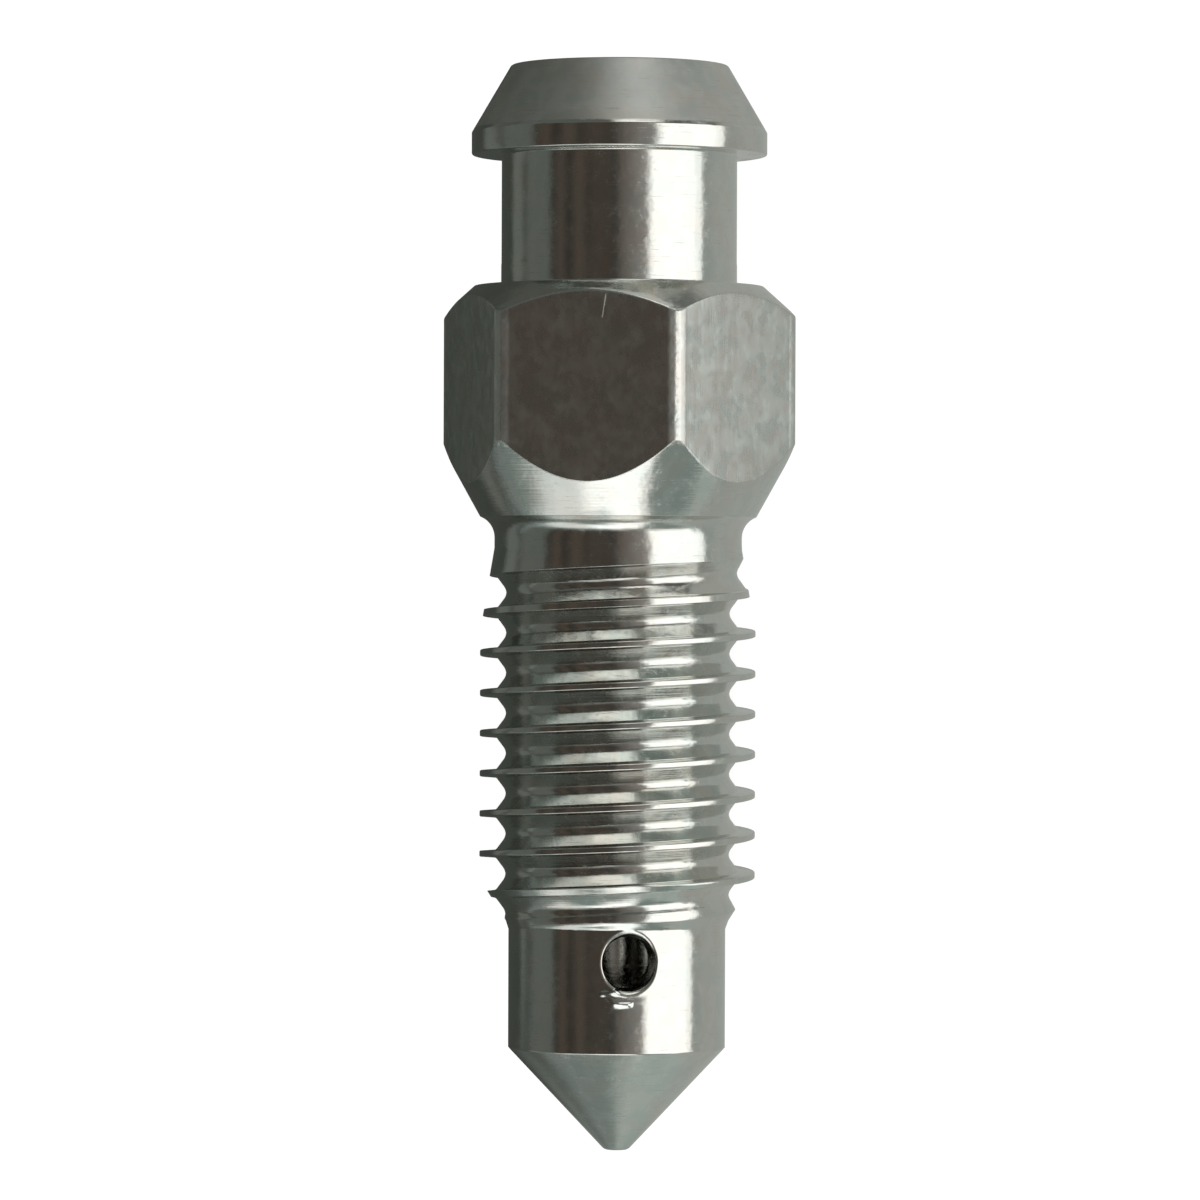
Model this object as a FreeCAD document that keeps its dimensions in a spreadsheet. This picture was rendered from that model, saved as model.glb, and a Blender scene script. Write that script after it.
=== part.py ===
import FreeCAD, Part
import math
import os

import Sketcher

# Bleeder screw for a brake caliper, turned and threaded from one piece of steel.
#
# The screw is modelled upright along its own Z axis: the seat point is at the
# origin and the hose nipple is at the top. Its own +X axis goes out through
# the middle of one hex flat. Its placement then lays it down at rest.

HEX_SIDES = 6

# Driving dimensions, in millimetres, degrees and turns.
SIZES = [
    ("tip_flat_diameter", "0.58", "blunt end of the point, to its sharp corner"),
    ("tip_round", "0.2", "rounding of that corner"),
    ("tip_cone_angle", "86.5", "included angle of the point that seats in the caliper"),
    ("shank_length", "2.79", "plain shank between the point and the thread"),
    ("shank_relief", "0.08", "how far the shank lies below the root of the thread"),
    ("thread_lead_length", "1.4", "taper at the foot of the thread"),
    ("thread_length", "6.15", "thread with a full crest"),
    ("thread_taper_length", "2.08", "rising crest between the collar and the full thread"),
    ("thread_diameter", "6.86", "over the crests"),
    ("thread_pitch", "1.0", "rise in one turn, right-handed"),
    ("thread_depth", "0.65", "from crest to root"),
    ("thread_crest_width", "0.16", "flat on top of the ridge"),
    ("thread_flank_angle", "1.5", "lean of a flank from square to the axis"),
    ("thread_shoulder", "0.28", "height of the 45 degree shoulder at the root"),
    ("thread_start_gap", "0.9", "from the collar down to where the groove starts to fade"),
    ("thread_runout_turns", "0.7", "turns over which the groove fades out"),
    ("thread_runout_rise", "0.15", "how far outside the collar the cutter ends"),
    ("collar_length", "0.26", "straight part of the plain collar above the thread"),
    ("seat_fillet", "0.55", "hollow radius between the collar and the cone"),
    ("seat_edge_diameter", "6.88", "sharp edge where that radius meets the cone"),
    ("seat_step", "0.36", "how far the collar lies inside that edge"),
    ("seat_cone_angle", "58", "included angle of the cone under the hex"),
    ("hex_length", "5.74", "from the foot of that cone to the top of the hex"),
    ("hex_across_flats", "7.8", "across the flats"),
    ("hex_corner_round", "0.35", "rounding of the six corners"),
    ("hex_chamfer_diameter", "7.2", "circle left on the top of the hex"),
    ("hex_chamfer_angle", "42", "slope of the top chamfer, from the top face"),
    ("neck_diameter", "5.87", "neck behind the hose bead"),
    ("neck_length", "3.26", "from the hex to the bead"),
    ("bead_diameter", "7.37", "hose bead, at its widest"),
    ("bead_band_length", "0.56", "straight band of the bead"),
    ("bead_taper_length", "1.68", "taper from the band to the mouth"),
    ("mouth_diameter", "5.4", "end face of the nipple"),
    ("lip_chamfer", "0.08", "broken edge at the rim of the mouth"),
    ("bore_diameter", "2.5", "bore down the middle"),
    ("bore_mouth_edge", "0.25", "width of the countersink at the mouth"),
    ("bore_past_cross_hole", "0.4", "full bore below the cross hole"),
    ("drill_point_angle", "118", "point of the drill"),
    ("countersink_angle", "90", "of the mouth and of the outlet's broken edge"),
    ("cross_hole_diameter", "1.3", "outlet drilled into the bore from one side"),
    ("cross_hole_edge", "0.16", "width of its broken edge, on the shank's top line"),
    ("cross_hole_height", "2.24", "from the point's upper edge to the middle of the outlet"),
    ("cross_hole_turn", "17.8", "from the middle of the first hex flat, to the right"),
]

# Radii, heights above the tip and the pose at rest, worked out from the sizes above.
WORKED_OUT = [
    ("tip_radius", "=tip_flat_diameter / 2"),
    ("crest_radius", "=thread_diameter / 2"),
    ("root_radius", "=crest_radius - thread_depth"),
    ("shank_radius", "=root_radius - shank_relief"),
    ("seat_edge_radius", "=seat_edge_diameter / 2"),
    ("collar_radius", "=seat_edge_radius - seat_step"),
    ("hex_apothem", "=hex_across_flats / 2"),
    ("blank_radius", f"=hex_apothem / cos(180 / {HEX_SIDES})"),
    ("chamfer_radius", "=hex_chamfer_diameter / 2"),
    ("neck_radius", "=neck_diameter / 2"),
    ("bead_radius", "=bead_diameter / 2"),
    ("mouth_radius", "=mouth_diameter / 2"),
    ("axis", "=0"),
    ("tip", "=0"),
    ("shank_foot", "=(shank_radius - tip_radius) / tan(tip_cone_angle / 2)"),
    ("thread_foot", "=shank_foot + shank_length"),
    ("thread_full", "=thread_foot + thread_lead_length"),
    ("thread_fade", "=thread_full + thread_length"),
    ("collar_foot", "=thread_fade + thread_taper_length"),
    ("collar_top", "=collar_foot + collar_length"),
    ("fillet_gap", "=seat_fillet + collar_radius - seat_edge_radius"),
    ("seat_edge", "=collar_top + sqrt(seat_fillet * seat_fillet - fillet_gap * fillet_gap)"),
    ("seat_top", "=seat_edge + (blank_radius - seat_edge_radius) / tan(seat_cone_angle / 2)"),
    ("hex_top", "=seat_edge + hex_length"),
    ("chamfer_foot", "=hex_top - (blank_radius - chamfer_radius) * tan(hex_chamfer_angle)"),
    ("bead_foot", "=hex_top + neck_length"),
    ("bead_shoulder", "=bead_foot + bead_band_length"),
    ("mouth", "=bead_shoulder + bead_taper_length"),
    ("outlet", "=shank_foot + cross_hole_height"),
    ("bore_mouth_diameter", "=bore_diameter + 2 * bore_mouth_edge"),
    ("cross_hole_rim", "=cross_hole_diameter + 2 * cross_hole_edge"),
    ("bore_depth", "=mouth - outlet + cross_hole_diameter / 2 + bore_past_cross_hole"),
    ("groove_top", "=collar_foot - thread_start_gap"),
    ("groove_turns", "=ceil((groove_top - thread_foot + thread_pitch / 2) / thread_pitch)"),
    ("cutter_radius", "=crest_radius + thread_depth / 2"),
    ("crest_gap", "=(thread_pitch - thread_crest_width) / 2"),
    ("lean", "=tan(thread_flank_angle)"),
    ("cutter_half_width", "=crest_gap + (cutter_radius - crest_radius) * lean"),
    ("shoulder_radius", "=root_radius + thread_shoulder"),
    ("shoulder_half_width", "=crest_gap - (crest_radius - shoulder_radius) * lean"),
    ("root_half_width", "=shoulder_half_width - thread_shoulder"),
    ("runout_radius", "=max(collar_radius; root_radius) + thread_runout_rise"),
    ("runout_growth", "=(runout_radius - root_radius) / thread_runout_turns"),
    ("flat_foot", "=seat_edge + (hex_apothem - seat_edge_radius) / tan(seat_cone_angle / 2)"),
    ("crest_half_width", "=thread_crest_width / 2"),
    ("crests_above", "=floor((groove_top - crest_half_width - thread_full) / thread_pitch)"),
    ("crest_foot", "=groove_top - crest_half_width - crests_above * thread_pitch"),
    ("rest_tilt", "=atan((hex_apothem - crest_radius) / (flat_foot - crest_foot)) / 1 deg"),
    ("rest_height", "=hex_apothem * cos(rest_tilt) - flat_foot * sin(rest_tilt)"),
    ("rest_shift", "=-(mouth * cos(rest_tilt) + mouth_radius * sin(rest_tilt)) / 2"),
]

AXES, ORIGIN = -1, 1
START, END, CENTRE = 1, 2, 3
MATCH = 1e-4


def make_sheet(doc):
    """Write the driving sizes, and what follows from them, into one spreadsheet."""
    sheet = doc.addObject("Spreadsheet::Sheet", "Sizes")
    rows = SIZES + [(alias, formula, "worked out") for alias, formula in WORKED_OUT]
    for row, (alias, text, note) in enumerate(rows, start=1):
        sheet.set(f"A{row}", alias)
        sheet.set(f"B{row}", text)
        sheet.setAlias(f"B{row}", alias)
        sheet.set(f"C{row}", note)
    doc.recompute()
    return sheet


def add_sketch(body, name, role):
    """A sketch on one of the body's own origin planes."""
    sketch = body.newObject("Sketcher::SketchObject", name)
    plane = next(feature for feature in body.Origin.OriginFeatures if feature.Role == role)
    sketch.AttachmentSupport = [(plane, "")]
    sketch.MapMode = "FlatFace"
    return sketch


def bind(sketch, kind, targets, formula):
    """Add a constraint that a formula on the sheet drives."""
    value = float(sketch.evalExpression(formula))
    index = sketch.addConstraint(Sketcher.Constraint(kind, *targets, value))
    sketch.setExpression(f"Constraints[{index}]", formula)


def pin(sketch, edge, end, radius, height):
    """Tie one end of an edge to a radius and a height of the sheet."""
    bind(sketch, "DistanceX", (AXES, ORIGIN, edge, end), radius)
    bind(sketch, "DistanceY", (AXES, ORIGIN, edge, end), height)


def join(sketch, edge, end, other, other_end, kind="Coincident"):
    """Make the ends of two edges meet."""
    sketch.addConstraint(Sketcher.Constraint(kind, edge, end, other, other_end))


def turned_blank(body, sheet):
    """Turn the whole outline, from the tip to the mouth, about the axis."""
    sketch = add_sketch(body, "turned_outline", "XZ_Plane")
    below_hollow = [
        ("axis", "tip"),
        ("tip_radius", "tip"),
        ("shank_radius", "shank_foot"),
        ("shank_radius", "thread_foot"),
        ("crest_radius", "thread_full"),
        ("crest_radius", "thread_fade"),
        ("collar_radius", "collar_foot"),
    ]
    above_hollow = [
        ("seat_edge_radius", "seat_edge"),
        ("blank_radius", "seat_top"),
        ("blank_radius", "chamfer_foot"),
        ("chamfer_radius", "hex_top"),
        ("neck_radius", "hex_top"),
        ("neck_radius", "bead_foot"),
        ("bead_radius", "bead_foot"),
        ("bead_radius", "bead_shoulder"),
        ("mouth_radius", "mouth"),
        ("axis", "mouth"),
    ]
    corners = below_hollow + [("collar_radius", "collar_top")] + above_hollow
    points = [FreeCAD.Vector(sheet.get(radius), sheet.get(height), 0) for radius, height in corners]
    hollow = len(below_hollow)
    for edge, (start, end) in enumerate(zip(points, points[1:] + points[:1])):
        line = Part.LineSegment(start, end)
        sketch.addGeometry(hollow_arc(sheet, start, end) if edge == hollow else line, False)
    for edge, (radius, height) in enumerate(corners):
        if edge != hollow:
            pin(sketch, edge, START, f"Sizes.{radius}", f"Sizes.{height}")
    for edge in range(len(corners)):
        if edge not in (hollow - 1, hollow):
            join(sketch, edge, END, (edge + 1) % len(corners), START)
    sketch.addConstraint(Sketcher.Constraint("Vertical", hollow - 1))
    join(sketch, hollow - 1, END, hollow, END, "Tangent")
    join(sketch, hollow, START, hollow + 1, START)
    bind(sketch, "Radius", (hollow,), "Sizes.seat_fillet")
    blank = body.newObject("PartDesign::Revolution", "turned_blank")
    blank.Profile = sketch
    blank.ReferenceAxis = (sketch, ["V_Axis"])
    blank.Angle = 360


def hollow_arc(sheet, start, end):
    """The hollow radius that rises from the collar and ends at the cone's edge."""
    radius = sheet.get("seat_fillet")
    centre = FreeCAD.Vector(start.x + radius, start.y, 0)
    swing = math.atan2(end.y - centre.y, end.x - centre.x)
    circle = Part.Circle(centre, FreeCAD.Vector(0, 0, 1), radius)
    return Part.ArcOfCircle(circle, swing, math.pi)


def hex_flats(body, sheet):
    """Mill the six flats down from the top of the hex, with rounded corners between them."""
    sketch = add_sketch(body, "hex_outline", "XY_Plane")
    sketch.setExpression("AttachmentOffset.Base.z", "Sizes.hex_top")
    apothem = sheet.get("hex_apothem")
    corner = sheet.get("hex_corner_round")
    inner = (apothem - corner) / math.cos(math.pi / HEX_SIDES)
    step = 2 * math.pi / HEX_SIDES
    up = FreeCAD.Vector(0, 0, 1)
    for side in range(HEX_SIDES):
        middle = side * step
        before = FreeCAD.Vector(math.cos(middle - step / 2), math.sin(middle - step / 2), 0) * inner
        after = FreeCAD.Vector(math.cos(middle + step / 2), math.sin(middle + step / 2), 0) * inner
        out = FreeCAD.Vector(math.cos(middle), math.sin(middle), 0) * corner
        sketch.addGeometry(Part.LineSegment(before + out, after + out), False)
        rounding = Part.Circle(after, up, corner)
        sketch.addGeometry(Part.ArcOfCircle(rounding, middle, middle + step), False)
    for side in range(HEX_SIDES):
        flat, rounding = 2 * side, 2 * side + 1
        join(sketch, flat, END, rounding, START, "Tangent")
        join(sketch, rounding, END, (rounding + 1) % (2 * HEX_SIDES), START, "Tangent")
        bind(sketch, "Distance", (AXES, ORIGIN, flat), "Sizes.hex_apothem")
        heading = math.remainder(math.pi / 2 + side * step, 2 * math.pi)
        sketch.addConstraint(Sketcher.Constraint("Angle", flat, heading))
        bind(sketch, "Radius", (rounding,), "Sizes.hex_corner_round")
    stock_circle = Part.Circle(FreeCAD.Vector(0, 0, 0), up, sheet.get("hex_across_flats"))
    stock = sketch.addGeometry(stock_circle, False)
    join(sketch, stock, CENTRE, AXES, ORIGIN)
    bind(sketch, "Radius", (stock,), "Sizes.hex_across_flats")
    flats = body.newObject("PartDesign::Pocket", "hex_flats")
    flats.Profile = sketch
    flats.setExpression("Length", "Sizes.hex_length")


def dress_rings(body, kind, name, size, rings):
    """Fillet or chamfer the turned edges that lie at the given radii and heights of the sheet."""
    body.Document.recompute()
    base = body.Tip
    sheet = body.Document.getObject("Sizes")
    wanted = [(sheet.get(radius), sheet.get(height)) for radius, height in rings]
    found = []
    for number, edge in enumerate(base.Shape.Edges, start=1):
        curve = edge.Curve
        if not isinstance(curve, Part.Circle):
            continue
        if any(math.hypot(curve.Radius - r, curve.Center.z - z) < MATCH for r, z in wanted):
            found.append(f"Edge{number}")
    dressing = body.newObject(f"PartDesign::{kind}", name)
    dressing.Base = (base, found)
    dressing.setExpression("Radius" if kind == "Fillet" else "Size", f"Sizes.{size}")


def groove_profile(body, sheet):
    """The section of the thread groove: a flat root, two shoulders and two steep flanks."""
    sketch = add_sketch(body, "groove_section", "XZ_Plane")
    sides = [
        ("cutter_radius", "cutter_half_width"),
        ("shoulder_radius", "shoulder_half_width"),
        ("root_radius", "root_half_width"),
    ]
    corners = [(radius, "+", width) for radius, width in sides]
    corners += [(radius, "-", width) for radius, width in reversed(sides)]
    middle = sheet.get("groove_top")
    points = []
    for radius, sign, width in corners:
        offset = sheet.get(width) if sign == "+" else -sheet.get(width)
        points.append(FreeCAD.Vector(sheet.get(radius), middle + offset, 0))
    for start, end in zip(points, points[1:] + points[:1]):
        sketch.addGeometry(Part.LineSegment(start, end), False)
    for edge, (radius, sign, width) in enumerate(corners):
        pin(sketch, edge, START, f"Sizes.{radius}", f"Sizes.groove_top {sign} Sizes.{width}")
        join(sketch, edge, END, (edge + 1) % len(corners), START)
    return sketch


def thread(body, sheet):
    """Cut the right-handed groove: one turn repeated down the shank, and its run-out."""
    section = groove_profile(body, sheet)
    axis = next(feature for feature in body.Origin.OriginFeatures if feature.Role == "Z_Axis")
    turn = body.newObject("PartDesign::SubtractiveHelix", "thread_turn")
    turn.Profile = section
    turn.ReferenceAxis = (axis, [""])
    turn.Mode = "pitch-turns-angle"
    turn.setExpression("Pitch", "Sizes.thread_pitch")
    turn.Turns = 1
    turn.Angle = 0
    turn.LeftHanded = False
    turn.Reversed = True
    body.Document.recompute()

    turns = body.newObject("PartDesign::LinearPattern", "thread_turns")
    turns.Originals = [turn]
    turns.Direction = (axis, [""])
    turns.Reversed = True
    turns.Mode = "Spacing"
    turns.setExpression("Offset", "Sizes.thread_pitch")
    turns.setExpression("Occurrences", "Sizes.groove_turns")
    body.Tip = turns
    body.Document.recompute()

    runout = body.newObject("PartDesign::SubtractiveHelix", "thread_runout")
    runout.Profile = section
    runout.ReferenceAxis = (axis, [""])
    runout.Mode = "height-turns-growth"
    runout.setExpression("Height", "Sizes.thread_runout_turns * Sizes.thread_pitch")
    runout.setExpression("Turns", "Sizes.thread_runout_turns")
    runout.setExpression("Growth", "Sizes.runout_growth")
    runout.LeftHanded = False
    runout.Reversed = False
    body.Document.recompute()


def bored_axis(body):
    """Drill down from the mouth, past the outlet, with a countersink at the mouth."""
    sketch = add_sketch(body, "bore_centre", "XY_Plane")
    sketch.setExpression("AttachmentOffset.Base.z", "Sizes.mouth")
    drill_circle(sketch, "Sizes.bore_diameter", "0")
    body.Document.recompute()
    bore = body.newObject("PartDesign::Hole", "bore")
    bore.Profile = sketch
    bore.ThreadType = "None"
    bore.DepthType = "Dimension"
    bore.DrillPoint = "Angled"
    bore.HoleCutType = "Countersink"
    bore.setExpression("Diameter", "Sizes.bore_diameter")
    bore.setExpression("Depth", "Sizes.bore_depth")
    bore.setExpression("DrillPointAngle", "Sizes.drill_point_angle")
    bore.setExpression("HoleCutDiameter", "Sizes.bore_mouth_diameter")
    bore.setExpression("HoleCutCountersinkAngle", "Sizes.countersink_angle")


def drill_circle(sketch, diameter, height):
    """The circle that sets a hole's centre, at a height above the sketch's origin."""
    up = FreeCAD.Vector(0, 0, 1)
    centre = FreeCAD.Vector(0, float(sketch.evalExpression(height)), 0)
    radius = float(sketch.evalExpression(diameter)) / 2
    circle = sketch.addGeometry(Part.Circle(centre, up, radius), False)
    bind(sketch, "Diameter", (circle,), diameter)
    bind(sketch, "DistanceX", (AXES, ORIGIN, circle, CENTRE), "0")
    bind(sketch, "DistanceY", (AXES, ORIGIN, circle, CENTRE), height)


def outlet(body, sheet):
    """Drill the outlet square to the axis, from one side into the bore, and break its edge."""
    sketch = add_sketch(body, "outlet_centre", "YZ_Plane")
    turn = FreeCAD.Rotation(FreeCAD.Vector(0, 1, 0), sheet.get("cross_hole_turn"))
    sketch.AttachmentOffset = FreeCAD.Placement(FreeCAD.Vector(0, 0, 0), turn)
    sketch.setExpression("AttachmentOffset.Rotation.Angle", "Sizes.cross_hole_turn")
    sketch.setExpression("AttachmentOffset.Base.x", "Sizes.shank_radius * sin(Sizes.cross_hole_turn)")
    sketch.setExpression("AttachmentOffset.Base.z", "Sizes.shank_radius * cos(Sizes.cross_hole_turn)")
    drill_circle(sketch, "Sizes.cross_hole_diameter", "Sizes.outlet")
    body.Document.recompute()
    hole = body.newObject("PartDesign::Hole", "outlet")
    hole.Profile = sketch
    hole.ThreadType = "None"
    hole.DepthType = "Dimension"
    hole.DrillPoint = "Angled"
    hole.HoleCutType = "Countersink"
    hole.setExpression("Diameter", "Sizes.cross_hole_diameter")
    hole.setExpression("Depth", "Sizes.shank_radius")
    hole.setExpression("DrillPointAngle", "Sizes.drill_point_angle")
    hole.setExpression("HoleCutDiameter", "Sizes.cross_hole_rim")
    hole.setExpression("HoleCutCountersinkAngle", "Sizes.countersink_angle")


def lay_down(body):
    """Lay the screw on its side, first flat up: it rests on a flat's lower edge and a crest."""
    on_its_side = "placement(vector(0; 0; 0); rotation(vector(1; 1; 1); -120))"
    place = "vector(0; Sizes.rest_shift; Sizes.rest_height)"
    tilted = f"placement({place}; rotation(vector(1; 0; 0); Sizes.rest_tilt))"
    body.setExpression("Placement", f"{tilted} * {on_its_side}")


def check(doc, body):
    """Stop if any object failed or the screw isn't one sound solid."""
    for thing in doc.Objects:
        if "Invalid" in thing.State or "Error" in thing.State:
            raise RuntimeError(f"{thing.Name} failed: {thing.State}")
    shape = body.Shape
    if shape.isNull() or not shape.isValid() or len(shape.Solids) != 1:
        raise RuntimeError("the screw isn't one valid solid")


def main():
    doc = FreeCAD.newDocument("bleeder_screw")
    sheet = make_sheet(doc)
    body = doc.addObject("PartDesign::Body", "bleeder_screw")
    body.Label = "bleeder_screw"
    turned_blank(body, sheet)
    hex_flats(body, sheet)
    dress_rings(body, "Fillet", "tip_rounding", "tip_round", [("tip_radius", "tip")])
    dress_rings(body, "Chamfer", "lip_edge", "lip_chamfer", [("mouth_radius", "mouth")])
    thread(body, sheet)
    bored_axis(body)
    outlet(body, sheet)
    lay_down(body)
    doc.recompute()
    check(doc, body)
    os.makedirs("parts", exist_ok=True)
    body.Shape.exportStep(f"parts/{body.Label}.step")
    box = body.Shape.BoundBox
    print(f"{body.Label}: {body.Shape.Volume:.1f} mm3, box {box.XMin:.2f} {box.YMin:.2f} {box.ZMin:.2f}"
          f" to {box.XMax:.2f} {box.YMax:.2f} {box.ZMax:.2f}")


main()
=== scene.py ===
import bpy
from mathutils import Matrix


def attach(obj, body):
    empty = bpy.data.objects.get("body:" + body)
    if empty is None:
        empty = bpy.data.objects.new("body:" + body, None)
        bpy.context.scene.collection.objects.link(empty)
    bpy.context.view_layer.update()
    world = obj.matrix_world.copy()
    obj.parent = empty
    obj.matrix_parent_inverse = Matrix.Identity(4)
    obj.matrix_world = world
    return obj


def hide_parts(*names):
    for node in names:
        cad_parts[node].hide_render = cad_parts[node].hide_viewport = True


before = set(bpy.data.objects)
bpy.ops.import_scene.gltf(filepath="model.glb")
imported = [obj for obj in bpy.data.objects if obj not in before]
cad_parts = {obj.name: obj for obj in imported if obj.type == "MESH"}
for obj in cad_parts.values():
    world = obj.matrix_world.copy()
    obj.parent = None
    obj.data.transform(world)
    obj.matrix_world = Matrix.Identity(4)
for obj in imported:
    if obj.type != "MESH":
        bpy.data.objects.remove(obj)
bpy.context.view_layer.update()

import math

import bpy
import numpy as np
from mathutils import Matrix, Vector

# The screw's own sizes, in millimetres and degrees. Its own axis starts at the point and
# rises to the hose nipple; azimuth 0 is the middle of the hex flat that faces up.
TIP_RADIUS = 0.29
SHANK_RADIUS = 2.70
ROOT_RADIUS = 2.78
CREST_RADIUS = 3.43
COLLAR_RADIUS = 3.08
SEAT_EDGE_RADIUS = 3.44
HOLLOW_RADIUS = 0.55
APOTHEM = 3.9
CORNER_TIP = 4.4491
CORNER_ROUND = 1.0
CHAMFER_RADIUS = 3.6
NECK_FOOT_RADIUS = 2.936
NECK_RADIUS = 2.93
BEAD_RADIUS = 3.68
MOUTH_RADIUS = 2.7
BORE_RADIUS = 1.25
OUTLET_RADIUS = 0.65
PITCH = 1.0


def tan(degrees):
    return math.tan(math.radians(degrees))


SHANK_FOOT = (SHANK_RADIUS - TIP_RADIUS) / tan(86.5 / 2)
THREAD_FOOT = SHANK_FOOT + 2.79
THREAD_FULL = THREAD_FOOT + 1.4
THREAD_FADE = THREAD_FULL + 6.15
COLLAR_FOOT = THREAD_FADE + 2.08
COLLAR_TOP = COLLAR_FOOT + 0.26
SEAT_EDGE = COLLAR_TOP + math.sqrt(HOLLOW_RADIUS**2 - (HOLLOW_RADIUS + COLLAR_RADIUS - SEAT_EDGE_RADIUS)**2)
FLAT_FOOT = SEAT_EDGE + (APOTHEM - SEAT_EDGE_RADIUS) / tan(29)
HEX_TOP = SEAT_EDGE + 5.74
BEAD_FOOT = HEX_TOP + 3.26
BEAD_SHOULDER = BEAD_FOOT + 0.56
MOUTH = BEAD_SHOULDER + 1.68
OUTLET_HEIGHT = SHANK_FOOT + 2.24
OUTLET_AZIMUTH = 17.8
BORE_END = OUTLET_HEIGHT - OUTLET_RADIUS - 0.4
GROOVE_TOP = COLLAR_FOOT - 0.9
RUNOUT_TURNS = 0.7
RUNOUT_GROWTH = (COLLAR_RADIUS + 0.15 - ROOT_RADIUS) / RUNOUT_TURNS

# Where the lead cone really starts, and the small step in the neck: both finer than the solid's.
LEAD_START = THREAD_FOOT + 0.25
NECK_STEP = HEX_TOP + 0.52

# The countersink of the mouth. At the outlet: the broken edge, how much of it is worn off, the
# rounding outside it, and the burr, by its direction round the hole and its second fold's distance.
MOUTH_EDGE_RADIUS = 1.5
BROKEN_EDGE = 0.16
RIM_WORN = 0.045
RIM_ROUND = 0.03
BURR_ANGLE = 245.0
FOLD_REACH = 1.01

# The mesh. Its seam is to the right of the outlet, and its rows follow the thread for ten turns.
# From the row halfway round the rounding at the point's upper edge, a formula gives the radius.
SEAM_AZIMUTH = 48.6
THREAD_ROWS_TURNS = 10
SHANK_FIRST_ROW = 16

# A square block of the mesh is bent round the outlet: cells along each side, the heights where it
# starts on the shank and in the bore, and half of the angle that it covers in the bore.
HOLE_BLOCK = 32
SHANK_BLOCK_FOOT = 3.82
BORE_BLOCK_TOP = 5.9
BORE_BLOCK_HALF = 46.0

# How it lies: on a crest near the point and on the lower edge of the hex flat underneath.
CREST_FOOT = GROOVE_TOP - 0.08 - math.floor(GROOVE_TOP - 0.08 - THREAD_FULL)
TILT = math.atan((APOTHEM - CREST_RADIUS) / (FLAT_FOOT - CREST_FOOT))
REST_SHIFT = -(MOUTH * math.cos(TILT) + MOUTH_RADIUS * math.sin(TILT)) / 2
REST_HEIGHT = APOTHEM * math.cos(TILT) - FLAT_FOOT * math.sin(TILT)
MM = 0.001

# The photograph's camera and the lamp, round the screw's own axis.
CAMERA_AZIMUTH = 11.3
CAMERA_DISTANCE = 157.0
CAMERA_HEIGHT = 13.96
CAMERA_SIDEWAYS = -0.447
CAMERA_LOOKS_DOWN = 0.27
CAMERA_ROLL = 0.2
FRAME_HALF_WIDTH = 14.945
LAMP_AZIMUTH = 1.3
LAMP_DISTANCE = 420.0
LAMP_WIDTH = 420.0


def laid_down(points):
    """Own millimetres to metres at rest: own x points up, own y along world x and the axis along
    world y, then all of it is tilted about world x and moved to its place on the surface."""
    x, y, z = points[..., 0], points[..., 1], points[..., 2]
    cos, sin = math.cos(TILT), math.sin(TILT)
    return np.stack([y, z * cos - x * sin + REST_SHIFT, x * cos + z * sin + REST_HEIGHT], axis=-1) * MM


def rounded_path(corners, rounds, runs, bends):
    """Rows of an outline whose corners are (radius, height), each a number or one value a column.
    At each corner with a rounding, an arc takes its place: its centre lies on the bisector of the
    two runs, and its points swing evenly from one run to the other. Each run is cut into even steps."""
    bends = [bends] * len(corners) if isinstance(bends, int) else bends
    wide = np.broadcast_arrays(*[value for corner in corners for value in corner])
    points = np.array(wide, float).reshape(len(corners), 2, -1)
    rows = []
    for place, (point, rounding) in enumerate(zip(points, rounds)):
        arc = point[None]
        if rounding:
            before, after = points[place - 1] - point, points[place + 1] - point
            long_before, long_after = np.hypot(*before), np.hypot(*after)
            before, after = before / long_before, after / long_after
            half = 0.5 * np.arccos(np.clip((before * after).sum(0), -1, 1))
            reach = np.minimum(rounding / np.tan(half), 0.45 * np.minimum(long_before, long_after))
            middle = before + after
            middle /= np.hypot(*middle)
            centre = point + middle * reach / np.cos(half)
            swing = np.pi - 2 * half
            share = np.linspace(0, 1, bends[place] + 1)[:, None, None]
            start, end = point + before * reach - centre, point + after * reach - centre
            arc = centre + (np.sin((1 - share) * swing) * start + np.sin(share * swing) * end) / np.sin(swing)
        if place and runs[place - 1] > 1:
            share = np.linspace(0, 1, runs[place - 1] + 1)[1:-1, None, None]
            rows.append(rows[-1][-1] * (1 - share) + arc[0] * share)
        rows.append(arc)
    return np.concatenate(rows)


def waves(angle, seed, count=7):
    """An uneven line round a circle: a sum of sine waves of rising pitch and falling height."""
    rng = np.random.default_rng(seed)
    pitch = np.arange(1, count + 1)
    phase = rng.uniform(0, 2 * np.pi, count)
    return (np.sin(angle[..., None] * pitch + phase) / pitch**0.7).sum(-1) / count**0.5


def corner_half_angle():
    """Half of the angle that the worn land of a hex corner takes up, seen from the axis."""
    inner = CORNER_TIP - CORNER_ROUND
    swing = math.pi / 6 - math.acos((APOTHEM - inner * math.cos(math.pi / 6)) / CORNER_ROUND)
    return math.degrees(math.atan2(CORNER_ROUND * math.sin(swing), inner + CORNER_ROUND * math.cos(swing)))


def column_azimuths():
    """Azimuths of the mesh's columns: close together over the six rounded corners, even over the
    flats, starting from a seam to the right of the outlet."""
    half = corner_half_angle()
    corner = np.linspace(0, half, 4)
    side = np.concatenate([corner[:-1], np.linspace(half, 60 - half, 31)[:-1], 60 - corner[:0:-1]])
    around = (30 + 60 * np.arange(6)[:, None] + side[None]).ravel()
    seam = around[np.argmin(abs(around - SEAM_AZIMUTH))]
    return np.sort(np.mod(around - seam, 360)) + seam


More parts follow.
